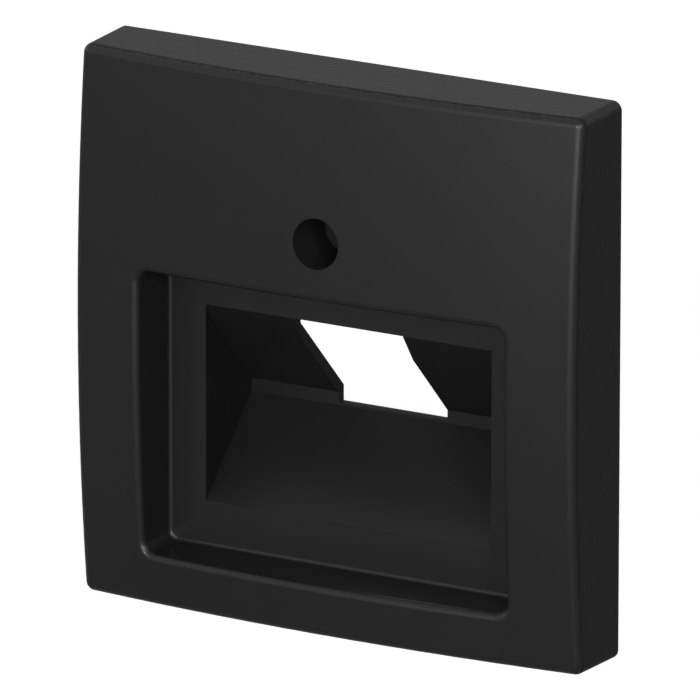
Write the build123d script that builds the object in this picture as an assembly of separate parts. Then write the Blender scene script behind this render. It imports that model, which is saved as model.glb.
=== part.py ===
from build123d import *
import os
from math import cos, radians, sqrt, tan

# Central cover plate of a single-jack data outlet, moulded in one piece.
# Millimetres. X is right, Y points into the wall, Z is up.
# The origin is the middle of the plane of the rear rim, and the face looks along -Y.

# Outer shell, measured at the rear rim
width = 63.0
height = 63.0
skirt_depth = 8.1  # rear rim to the front face at its corners
crown_rise = 1.8  # how far an edge of the front bows out at its middle
side_draft = 1.2  # degrees, the skirt narrows towards the front
edge_round = 1.1  # front edge and the four corners
skirt_wall = 1.8
front_wall = 2.0

# Pocket in the front face, measured on its floor
floor_depth = 4.25  # pocket floor, in front of the rear rim
pocket_width = 45.2
pocket_height = 32.1
pocket_centre_z = -9.05
pocket_draft = 2.5  # degrees, the pocket widens towards the front
pocket_corner = 1.2
pocket_wall = 1.6
floor_wall = 1.6
rim_round = 0.8
floor_fillet = 0.45

# Slanted jack chute behind the window in the pocket floor
window_width = 35.9
window_height = 22.5
window_above_floor_edge = 5.2  # from the pocket floor's lower edge to the window
ramp_angle = 45.0  # degrees, both slopes of the chute
lip_depth = 2.3  # steep first stretch above the upper slope, front to back
chute_depth = 10.0  # window plane to the upright strip at the back
strip_height = 1.5
slope_wall = 1.2
strip_wall = 1.1
chute_side_wall = 1.2

# Opening for the jack
jack_width = 13.7
jack_sill = 0.3  # stands above the foot of the upright strip

# Fixing screw
screw_z = 13.8
head_diameter = 5.7
screw_hole_diameter = 3.2
boss_wall = 1.8
boss_setback = 1.2  # end of the boss, in front of the rear rim

# Stiffening ribs inside the back
rib_wall = 1.0
rib_setback = 2.5
foot_rib_spacing = 30.0

# How far a cutter runs past the face that it opens
overrun = 2.0

# Sizes that follow from the ones above
crown_radius = ((width / 2) ** 2 + crown_rise**2) / (2 * crown_rise)
half_diagonal_squared = (width / 2) ** 2 + (height / 2) ** 2
crown_centre = skirt_depth - sqrt(crown_radius**2 - half_diagonal_squared)
apex_depth = crown_centre + crown_radius
floor_back = floor_depth - floor_wall
window_bottom = pocket_centre_z - pocket_height / 2 + window_above_floor_edge
window_top = window_bottom + window_height
ramp_rise = tan(radians(ramp_angle))  # for each millimetre of depth
strip_bottom = window_bottom + chute_depth * ramp_rise
strip_top = strip_bottom + strip_height
lip_foot = strip_top + (chute_depth - lip_depth) * ramp_rise
sill_z = strip_bottom + jack_sill
chute_back = chute_depth + strip_wall
slope_offset = slope_wall / cos(radians(ramp_angle))


def at_depth(depth):
    """Plane parallel to the rear rim and this far in front of it: x is X and y is Z."""
    return Plane.XZ.offset(depth)


def crown(radius):
    """Ball whose near side is the domed front, or the inside of it at a smaller radius."""
    return Pos(0, -crown_centre, 0) * Sphere(radius)


def drafted(outline, depth):
    """Solid that stands on the rear rim's plane and narrows towards the front."""
    return extrude(at_depth(0) * outline, depth, taper=side_draft)


def rounded_outside(block, radius):
    """Round the front edge and the four corners, but not the rear rim."""
    rear = block.faces().sort_by(Axis.Y)[-1]
    rear_edges = rear.edges()
    edges = [edge for edge in block.edges() if edge not in rear_edges]
    return fillet(edges, radius)


def domed_block():
    """The whole outside form, still solid."""
    block = drafted(Rectangle(width, height), apex_depth + overrun) & crown(crown_radius)
    return rounded_outside(block, edge_round)


def pocket_form(grow, start):
    """The pocket's drafted form from a depth to past the front, grown by a wall."""
    spread = (start - floor_depth) * tan(radians(pocket_draft))
    outline = RectangleRounded(
        pocket_width + 2 * (grow + spread),
        pocket_height + 2 * (grow + spread),
        pocket_corner + grow,
    )
    reach = apex_depth + overrun - start
    return extrude(at_depth(start) * Pos(0, pocket_centre_z) * outline, reach, taper=-pocket_draft)


def pocket_space():
    """The pocket as it is cut, with a small fillet round its floor."""
    space = pocket_form(0, floor_depth)
    floor = space.faces().sort_by(Axis.Y)[-1]
    return fillet(floor.edges(), floor_fillet)


def with_pocket(block):
    """Cut the pocket and round its rim."""
    block = block - pocket_space()
    front = block.faces().filter_by(GeomType.SPHERE).sort_by(SortBy.AREA)[-1]
    rim = front.inner_wires()[0]
    return fillet(rim.edges(), rim_round)


def boss():
    """Pillar for the fixing screw."""
    radius = head_diameter / 2 + boss_wall
    length = apex_depth - boss_setback
    return extrude(at_depth(boss_setback) * Pos(0, screw_z) * Circle(radius), length)


def rib(x, low, high):
    """Upright rib between two heights, up to the front wall."""
    outline = Pos(x, (low + high) / 2) * Rectangle(rib_wall, high - low)
    return extrude(at_depth(rib_setback) * outline, apex_depth - rib_setback)


def ribs():
    """One rib from the pocket through the boss to the top, and two under the pocket."""
    top = rib(0, pocket_centre_z, height / 2)
    feet = [rib(x, -height / 2, pocket_centre_z) for x in (-foot_rib_spacing / 2, foot_rib_spacing / 2)]
    return [top] + feet


def back_hollow():
    """What is hollow behind the front: all but the pocket's box, the boss and the ribs."""
    outline = Rectangle(width - 2 * skirt_wall, height - 2 * skirt_wall)
    hollow = drafted(outline, apex_depth) & crown(crown_radius - front_wall)
    for kept in [pocket_form(pocket_wall, floor_back), boss()] + ribs():
        hollow = hollow - kept
    return hollow


def across(points, full_width):
    """Solid as wide as given, with a side outline of (depth behind the pocket floor, Z) points."""
    outline = make_face(Polyline([(depth - floor_depth, z) for depth, z in points], close=True))
    return extrude(Plane.YZ * outline, full_width / 2, both=True)


def chute_space():
    """V-shaped space: a steep lip, the upper slope, an upright strip and the lower ramp."""
    return across(
        [
            (-overrun, window_top),
            (0, window_top),
            (lip_depth, lip_foot),
            (chute_depth, strip_top),
            (chute_depth, strip_bottom),
            (0, window_bottom),
            (-overrun, window_bottom),
        ],
        window_width,
    )


def chute_housing():
    """Walls round the chute, behind the pocket floor."""
    back_top = strip_top + slope_offset - strip_wall * ramp_rise
    back_bottom = strip_bottom - slope_offset + strip_wall * ramp_rise
    rise = (chute_back - floor_wall / 2) * ramp_rise
    return across(
        [
            (floor_wall / 2, back_top + rise),
            (chute_back, back_top),
            (chute_back, back_bottom),
            (floor_wall / 2, back_bottom - rise),
        ],
        window_width + 2 * chute_side_wall,
    )


def jack_space():
    """Straight opening for the jack, from the window's top edge down to the sill."""
    return across(
        [
            (-overrun, window_top),
            (chute_back + overrun, window_top),
            (chute_back + overrun, sill_z),
            (-overrun, sill_z),
        ],
        jack_width,
    )


def screw_space():
    """Recess for the screw's head, with its floor level with the pocket's, and the hole."""
    hole_reach = floor_depth + overrun
    head_reach = apex_depth + overrun - floor_depth
    centre = Pos(0, screw_z)
    hole = extrude(at_depth(0) * centre * Circle(screw_hole_diameter / 2), hole_reach)
    head = extrude(at_depth(floor_depth) * centre * Circle(head_diameter / 2), head_reach)
    return hole + head


def faceplate():
    body = with_pocket(domed_block())
    body = body - back_hollow()
    body = body + chute_housing()
    for space in (chute_space(), jack_space(), screw_space()):
        body = body - space
    return body


os.makedirs("parts", exist_ok=True)
export_step(faceplate(), "parts/faceplate.step")
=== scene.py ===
from math import cos, hypot, pi, radians, sin, sqrt, tan

import bmesh
import bpy
import numpy as np
from mathutils import Matrix, Vector
from mathutils.bvhtree import BVHTree


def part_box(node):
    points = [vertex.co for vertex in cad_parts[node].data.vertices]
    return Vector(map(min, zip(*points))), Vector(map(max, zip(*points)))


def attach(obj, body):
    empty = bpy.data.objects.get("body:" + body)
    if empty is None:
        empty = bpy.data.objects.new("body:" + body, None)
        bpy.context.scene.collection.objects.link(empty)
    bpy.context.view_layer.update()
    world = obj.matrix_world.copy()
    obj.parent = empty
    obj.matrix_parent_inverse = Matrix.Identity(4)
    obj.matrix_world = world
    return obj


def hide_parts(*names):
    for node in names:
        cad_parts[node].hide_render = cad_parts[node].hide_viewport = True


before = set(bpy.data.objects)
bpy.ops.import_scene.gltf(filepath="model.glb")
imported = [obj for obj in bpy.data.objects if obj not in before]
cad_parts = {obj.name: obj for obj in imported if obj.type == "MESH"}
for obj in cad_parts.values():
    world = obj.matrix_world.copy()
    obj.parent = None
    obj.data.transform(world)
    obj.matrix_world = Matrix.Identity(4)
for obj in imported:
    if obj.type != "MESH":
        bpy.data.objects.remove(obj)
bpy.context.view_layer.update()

# Cover plate of a data outlet, moulded in one piece in matt black plastic.
# Metres. X is right, Y points into the wall, Z is up, and the plate stands on its lower edge.

MM = 0.001

# The domed front is part of a ball
crown_rise = 1.8 * MM
skirt_depth = 8.1 * MM
skirt_draft = radians(1.2)
plate_low, plate_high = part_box("faceplate")
half_width = (plate_high.x - plate_low.x) / 2
half_height = (plate_high.z - plate_low.z) / 2
edge_round = 1.1 * MM
grain_end = radians(28.5)  # how far round the front edge the skirt's grain runs
crown_radius = (half_width**2 + crown_rise**2) / (2 * crown_rise)
corner_reach = sqrt(crown_radius**2 - half_width**2 - half_height**2)
crown_centre = Vector((0, corner_reach - skirt_depth, 0))

# The pocket, measured on its floor
pocket_half = np.array((22.6, 16.05)) * MM
pocket_centre = np.array((0, -9.05)) * MM
pocket_corner = 1.2 * MM
pocket_draft = radians(2.5)
floor_depth = 4.25 * MM
floor_fillet = 0.45 * MM
rim_round = 0.8 * MM

# The screw recess is formed by a pin of its own
screw_z = 13.8 * MM
pin_radius = 2.85 * MM

# Shading of the moulded skin
weld_distance = 0.0005 * MM
on_surface = 0.004 * MM  # how far off a true round a vertex may lie and still belong to it
off_face = 0.01 * MM  # how far in front of a face a ray starts
sharp_angle = radians(28)
skin_tilt = radians(12)  # how far a true round's normal may turn from the mesh's own
area_weight = 90  # how strongly large faces keep their own normals
pull_rounds = 40
settle_rounds = 4

# Finishes, in the order of their material slots: name, tone, roughness, level of reflection, coat,
# and the grain's size and depth in millimetres and its strength
SATIN, GRAINED, TOOLED, CHUTE_PAINTED_SHADE = range(4)
finishes = (
    ("satin_black_front", 0.0078, 0.40, 0.22, 0.10, 0.2, 0.002, 0.3),
    ("grained_black_skirt", 0.011, 0.48, 0.076, 0.0, 0.4, 0.045, 1.0),
    ("tooled_black_inside", 0.0114, 0.62, 0.034, 0.0, 0.5, 0.008, 0.4),
    # the chute's satin is darker in tone, reflection and coat: painted shade for the shade deep in the
    # chute
    ("satin_black_chute_painted_shade", 0.0068, 0.40, 0.19, 0.085, 0.2, 0.002, 0.3),
)
coat_roughness = 0.17
cloud_size = 14.0
mottle_size = 1.6
cloud_share = 0.6  # the mottle has the rest
tone_spread = 0.15
cool_cast = 0.01  # a touch more blue than red and green
roughness_spread = 0.03
turned_away = -0.5  # a normal's part towards the front, below which no front mould reaches the face

# Camera, worked out from the outline of the plate
camera_azimuth = radians(29.780)
camera_elevation = radians(16.623)
camera_roll = radians(0.056)
camera_distance = 1.5246
camera_target = Vector((-0.002163, 0, -0.001401))
focal_pixels = 13945.9
image_pixels = 700
sensor_width = 36.0
sight_end = 20.0

# Soft boxes: name, azimuth (0 is in front of the plate, 90 on its right), elevation, and level,
# where 1 is the level at which a surface that faces the lamp renders as its own colour
soft_boxes = (
    ("front_soft_box", 3, 13, 0.52),
    ("low_soft_box", 28, 6, 0.42),
    ("right_soft_box", 47, 21, 0.36),
    ("left_soft_box", -75, 18, 0.05),
    ("rear_soft_box", 180, 4, 0.50),
)
soft_box_distance = 1.3
soft_box_size = 0.25
floor_paint = 0.5
floor_glow = 0.90  # near the plate, to the camera and through glass
floor_mirrored = 0.15  # in reflections
floor_reach = 6.0
fade_from = 0.3  # where the floor starts to blend into the white behind it
fade_to = 1.2


def link(thing):
    bpy.context.scene.collection.objects.link(thing)
    return thing


def joined_copy(node):
    """A copy of the moulded piece with its loose triangles joined into one skin."""
    mesh = node.data.copy()
    mesh.name = "plate_shell"
    mesh.materials.clear()
    skin = bmesh.new()
    skin.from_mesh(mesh)
    bmesh.ops.remove_doubles(skin, verts=skin.verts, dist=weld_distance)
    for face in skin.faces:
        face.smooth = True
    sort_finishes(skin)
    skin.to_mesh(mesh)
    skin.free()
    for name in ("custom_normal", "UVMap"):
        layer = mesh.attributes.get(name)
        if layer:
            mesh.attributes.remove(layer)
    return mesh


def on_skirt(face):
    """Whether a face belongs to the outer walls, with their corners and the start of the front round."""
    centre = face.calc_center_median()
    reach = max(abs(centre.x), abs(centre.z)) - centre.y * tan(skirt_draft)
    return reach > half_width - edge_round and abs(face.normal.y) < sin(grain_end)


def on_pin(face):
    """Whether a face lies within the screw recess, its floor and its hole."""
    centre = face.calc_center_median()
    return hypot(centre.x, centre.z - screw_z) < pin_radius


def in_chute(face):
    """Whether a face lies behind the pocket's floor."""
    return face.calc_center_median().y > -floor_depth + off_face


def sort_finishes(skin):
    """Grained skirt, satin where only the front half of the mould reaches, and the rest as tooled.

    The rear half of the mould forms the inside, the two halves meet in the openings and a pin forms
    the screw recess, which all show no satin. The chute gets a darker copy of the satin, painted shade
    that stands in for the shade deep in the chute.
    """
    skin.normal_update()
    tree = BVHTree.FromBMesh(skin)
    front = Vector((0, -1, 0))
    for face in skin.faces:
        start = face.calc_center_median() + face.normal * off_face
        from_front = face.normal.dot(front) > turned_away and not tree.ray_cast(start, front)[0]
        from_rear = not tree.ray_cast(start, -front)[0]
        if on_skirt(face):
            face.material_index = GRAINED
        elif from_front and not from_rear and not on_pin(face):
            # faces in the chute get the darker satin, painted shade
            face.material_index = CHUTE_PAINTED_SHADE if in_chute(face) else SATIN
        else:
            face.material_index = TOOLED


def pulled_to_wall(points, wall, reach):
    """The points, with those beyond a wall pulled back to it."""
    beyond = np.maximum(points @ wall - reach, 0)
    return points - beyond[:, None] * wall


def pulled_to_ball(points, radius):
    """The points, with those outside the dome's ball pulled back to it."""
    arms = points - np.array(crown_centre)
    lengths = np.linalg.norm(arms, axis=1)
    return np.array(crown_centre) + arms * np.minimum(radius / lengths, 1)[:, None]


def nearest_in_core(points):
    """The nearest place in a core that is the plate's outside less its rounding all round.

    The core's four walls and its ball pull the points in by turns. Each gives back its own last pull
    before the next one, which leads to the nearest place and not just to any.
    """
    outwards, forwards = cos(skirt_draft), -sin(skirt_draft)
    walls = []
    for side in (1, -1):
        walls.append((np.array((side * outwards, forwards, 0)), half_width))
        walls.append((np.array((0, forwards, side * outwards)), half_height))
    pulls = [lambda at: pulled_to_ball(at, crown_radius - edge_round)]
    for wall, half in walls:
        reach = half * outwards - edge_round
        pulls.append(lambda at, wall=wall, reach=reach: pulled_to_wall(at, wall, reach))
    given = [np.zeros_like(points) for _ in pulls]
    for _ in range(pull_rounds):
        for turn, pull in enumerate(pulls):
            start = points + given[turn]
            points = pull(start)
            given[turn] = start - points
    return points


def from_pocket_middle(points):
    """The foot of each point on the pocket's inner rectangle, and the way from there to the point.

    The pocket's outline keeps one distance from that rectangle all round, at each depth.
    """
    flat = points[:, [0, 2]] - pocket_centre
    inner = pocket_half - pocket_corner
    foot = np.clip(flat, -inner, inner)
    arms = flat - foot
    ways = arms / np.maximum(np.linalg.norm(arms, axis=1), on_surface)[:, None]
    return foot + pocket_centre, ways


def wall_reach(depth):
    """How far the pocket's wall is from its inner rectangle at a depth in front of the rear rim."""
    return pocket_corner + (depth - floor_depth) * tan(pocket_draft)


def floor_fillet_centres(points):
    """Where the ball that rolls along the pocket's floor and wall is nearest to each point."""
    foot, ways = from_pocket_middle(points)
    depth = floor_depth + floor_fillet
    flat = foot + ways * (wall_reach(depth) - floor_fillet / cos(pocket_draft))
    return np.column_stack((flat[:, 0], np.full(len(flat), -depth), flat[:, 1]))


def rim_round_centres(points):
    """Where the ball that rolls inside the pocket's wall and the dome is nearest to each point."""
    foot, ways = from_pocket_middle(points)
    depth = -points[:, 1]
    for _ in range(settle_rounds):
        flat = foot + ways * (wall_reach(depth) + rim_round / cos(pocket_draft))[:, None]
        fall = np.sqrt((crown_radius - rim_round) ** 2 - (flat**2).sum(axis=1))
        depth = fall - crown_centre.y
    centres = np.column_stack((flat[:, 0], -depth, flat[:, 1]))
    slope = (flat[:, 0] * -ways[:, 1] + flat[:, 1] * ways[:, 0]) / fall
    along = np.column_stack((-ways[:, 1], slope, ways[:, 0]))
    along /= np.linalg.norm(along, axis=1)[:, None]
    slide = ((points - centres) * along).sum(axis=1)
    return centres + along * slide[:, None]


def with_true_rounds(mesh):
    """The outside and the pocket's rounds get the normals of the balls that round them."""
    normals = np.array([corner.vector for corner in mesh.corner_normals])
    places = np.array([mesh.vertices[corner.vertex_index].co for corner in mesh.loops])
    balls = (
        (nearest_in_core, edge_round, 1),
        (rim_round_centres, rim_round, 1),
        (floor_fillet_centres, floor_fillet, -1),
    )
    for centres, radius, side in balls:
        outward = (places - centres(places)) * side
        lengths = np.linalg.norm(outward, axis=1)
        outward /= np.maximum(lengths, on_surface)[:, None]
        near = np.abs(lengths - radius) < on_surface
        alike = (outward * normals).sum(axis=1) > cos(skin_tilt)
        normals[near & alike] = outward[near & alike]
    mesh.normals_split_custom_set(normals.tolist())


def shaded(mesh):
    """Flat walls stay flat, and the dome and the rounds have their true normals."""
    mesh.set_sharp_from_angle(angle=sharp_angle)
    shell = link(bpy.data.objects.new("plate_shell", mesh))
    weighted = shell.modifiers.new("Even shading", "WEIGHTED_NORMAL")
    weighted.mode = "FACE_AREA_WITH_ANGLE"
    weighted.keep_sharp = True
    weighted.weight = area_weight
    graph = bpy.context.evaluated_depsgraph_get()
    final = bpy.data.meshes.new_from_object(shell.evaluated_get(graph))
    shell.modifiers.remove(weighted)
    with_true_rounds(final)
    shell.data = final
    final.name = "plate_shell"
    return shell


class Tree:
    """Shader nodes, added and joined by short calls."""

    def __init__(self, owner):
        owner.use_nodes = True
        self.owner = owner
        self.nodes = owner.node_tree.nodes
        self.links = owner.node_tree.links
        self.nodes.clear()

    def add(self, kind, settings=None, **inputs):
        node = self.nodes.new("ShaderNode" + kind)
        for key, value in (settings or {}).items():
            setattr(node, key, value)
        for key, value in inputs.items():
            self.put(node.inputs[key.replace("_", " ")], value)
        return node

    def put(self, socket, value):
        if isinstance(value, bpy.types.NodeSocket):
            self.links.new(value, socket)
        else:
            socket.default_value = value

    def math(self, operation, first, second):
        node = self.add("Math", {"operation": operation})
        self.put(node.inputs[0], first)
        self.put(node.inputs[1], second)
        return node.outputs[0]

    def spread(self, value, low, high):
        """A pattern's 0 to 1 laid out between two values."""
        return self.add("MapRange", Value=value, To_Min=low, To_Max=high).outputs["Result"]


def noise(tree, place, size, detail=2.0, roughness=0.55):
    """Noise whose lumps are about this size, in millimetres."""
    pattern = tree.add("TexNoise", Vector=place, Scale=1 / (size * MM), Detail=detail, Roughness=roughness)
    return pattern.outputs["Fac"]


def black(tone, share):
    """A share of the tone, a little cooler than grey."""
    return tone * share, tone * share, tone * (share + cool_cast), 1


def plastic(name, tone, roughness, reflection, coat, grain_size, grain_depth, grain_strength):
    """Black moulded plastic: cloudy tone and roughness, and a grain of its own size and depth."""
    tree = Tree(bpy.data.materials.new(name))
    place = tree.add("TexCoord").outputs["Object"]
    clouds = tree.math("MULTIPLY", noise(tree, place, cloud_size), cloud_share)
    mottle = tree.math("MULTIPLY", noise(tree, place, mottle_size, detail=3.0), 1 - cloud_share)
    grain = noise(tree, place, grain_size, detail=3.0, roughness=0.6)
    blend = tree.math("ADD", clouds, mottle)
    colour = tree.add("MixRGB", Fac=blend)
    tree.put(colour.inputs["Color1"], black(tone, 1 - tone_spread))
    tree.put(colour.inputs["Color2"], black(tone, 1 + tone_spread))
    bump = tree.add("Bump", Height=grain, Strength=grain_strength, Distance=grain_depth * MM)
    shader = tree.add(
        "BsdfPrincipled",
        Base_Color=colour.outputs["Color"],
        Roughness=tree.spread(blend, roughness - roughness_spread, roughness + roughness_spread),
        Specular_IOR_Level=reflection,
        Coat_Weight=coat,
        Coat_Roughness=coat_roughness,
        Normal=bump.outputs["Normal"],
    )
    tree.add("OutputMaterial", Surface=shader.outputs["BSDF"])
    return tree.owner


def plate_shell():
    shell = shaded(joined_copy(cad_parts["faceplate"]))
    for finish in finishes:
        shell.data.materials.append(plastic(*finish))
    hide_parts("faceplate")
    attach(shell, "root")
    return shell


def white_to_views(tree, straight, mirrored):
    """A strength for the rays that look straight or through glass, one in reflections, and else 0."""
    path = tree.add("LightPath")
    direct = tree.math("MAXIMUM", path.outputs["Is Camera Ray"], path.outputs["Is Transmission Ray"])
    seen = tree.math("MULTIPLY", direct, straight)
    glossy = tree.math("MULTIPLY", path.outputs["Is Glossy Ray"], mirrored)
    return tree.math("MAXIMUM", seen, glossy)


def floor():
    """Plain pale floor: white to the camera, also far away, with a light shadow under the plate."""
    tree = Tree(bpy.data.materials.new("pale_floor"))
    paint = tree.add("BsdfDiffuse", Color=(floor_paint, floor_paint, floor_paint, 1))
    away = tree.add("VectorMath", {"operation": "LENGTH"}, Vector=tree.add("TexCoord").outputs["Object"])
    fade = tree.add("MapRange", Value=away.outputs["Value"], From_Min=fade_from, From_Max=fade_to)
    tree.put(fade.inputs["To Min"], floor_glow)
    level = white_to_views(tree, fade.outputs["Result"], floor_mirrored)
    glow = tree.add("Emission", Strength=level)
    both = tree.add("AddShader")
    tree.put(both.inputs[0], paint.outputs["BSDF"])
    tree.put(both.inputs[1], glow.outputs["Emission"])
    tree.add("OutputMaterial", Surface=both.outputs["Shader"])
    mesh = bpy.data.meshes.new("floor")
    low, reach = plate_low.z, floor_reach
    corners = [(-reach, -reach, low), (reach, -reach, low), (reach, reach, low), (-reach, reach, low)]
    mesh.from_pydata(corners, [], [(0, 1, 2, 3)])
    mesh.materials.append(tree.owner)
    link(bpy.data.objects.new("floor", mesh))


def surroundings():
    """White all round, for straight views and reflections only, so that the soft boxes do the lighting."""
    world = bpy.data.worlds.new("studio")
    bpy.context.scene.world = world
    tree = Tree(world)
    sky = tree.add("Background", Color=(1, 1, 1, 1), Strength=white_to_views(tree, 1.0, 1.0))
    tree.add("OutputWorld", Surface=sky.outputs["Background"])


def soft_box(name, azimuth, elevation, level):
    """Square lamp that faces the plate. Its power gives its level at its distance."""
    light = bpy.data.lights.new(name, "AREA")
    light.shape = "SQUARE"
    light.size = soft_box_size
    light.energy = level * pi**2 * soft_box_distance**2
    turn, rise = radians(azimuth), radians(elevation)
    towards = Vector((sin(turn) * cos(rise), -cos(turn) * cos(rise), sin(rise)))
    facing = towards.to_track_quat("Z", "Y").to_matrix().to_4x4()
    box = link(bpy.data.objects.new(name, light))
    box.matrix_world = Matrix.Translation(towards * soft_box_distance) @ facing
    box.visible_camera = False


def camera():
    back = Vector((
        sin(camera_azimuth) * cos(camera_elevation),
        -cos(camera_azimuth) * cos(camera_elevation),
        sin(camera_elevation),
    ))
    level_right = Vector((cos(camera_azimuth), sin(camera_azimuth), 0))
    level_up = back.cross(level_right)
    right = cos(camera_roll) * level_right + sin(camera_roll) * level_up
    up = cos(camera_roll) * level_up - sin(camera_roll) * level_right
    data = bpy.data.cameras.new("camera")
    data.sensor_width = sensor_width
    data.lens = focal_pixels / image_pixels * sensor_width
    data.clip_end = sight_end
    eye = link(bpy.data.objects.new("camera", data))
    turn = Matrix((right, up, back)).transposed().to_4x4()
    eye.matrix_world = Matrix.Translation(camera_target + back * camera_distance) @ turn
    bpy.context.scene.camera = eye


plate_shell()
floor()
surroundings()
for box in soft_boxes:
    soft_box(*box)
camera()
bpy.context.scene.view_settings.view_transform = "Standard"
